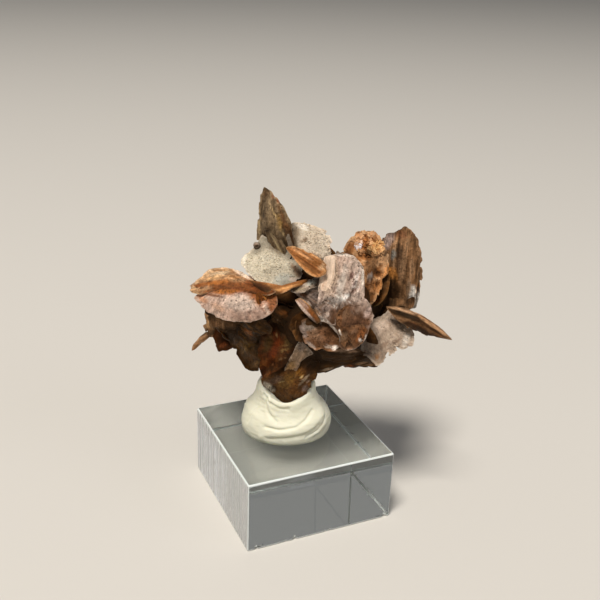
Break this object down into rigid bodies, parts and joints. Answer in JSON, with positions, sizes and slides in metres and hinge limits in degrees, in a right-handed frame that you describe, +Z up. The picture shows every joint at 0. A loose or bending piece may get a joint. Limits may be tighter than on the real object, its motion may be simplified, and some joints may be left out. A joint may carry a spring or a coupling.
{
  "type": "bladed calcite specimen",
  "caption": "Rosette of intergrown lens-shaped calcite blades, held upright by soft putty on a clear square display block.",
  "frame": {"origin": "centre of the block's underside", "axes": "+Z up, +X along the front edge of the block to the right, +Y away from its front face"},
  "size_m": [0.0449, 0.0393, 0.0612],
  "materials": {
    "clear_acrylic": "clear, polished faces with fine scratches and one sawn side",
    "white_putty": "soft satin, warm white, pressed by hand",
    "calcite": "brown to lilac-grey, satin to glassy faces with pale sugary ones"
  },
  "bodies": {
    "root": {"acrylic_block": "clear_acrylic", "mounting_putty": "white_putty", "calcite_cluster": "calcite"}
  },
  "joints": []
}
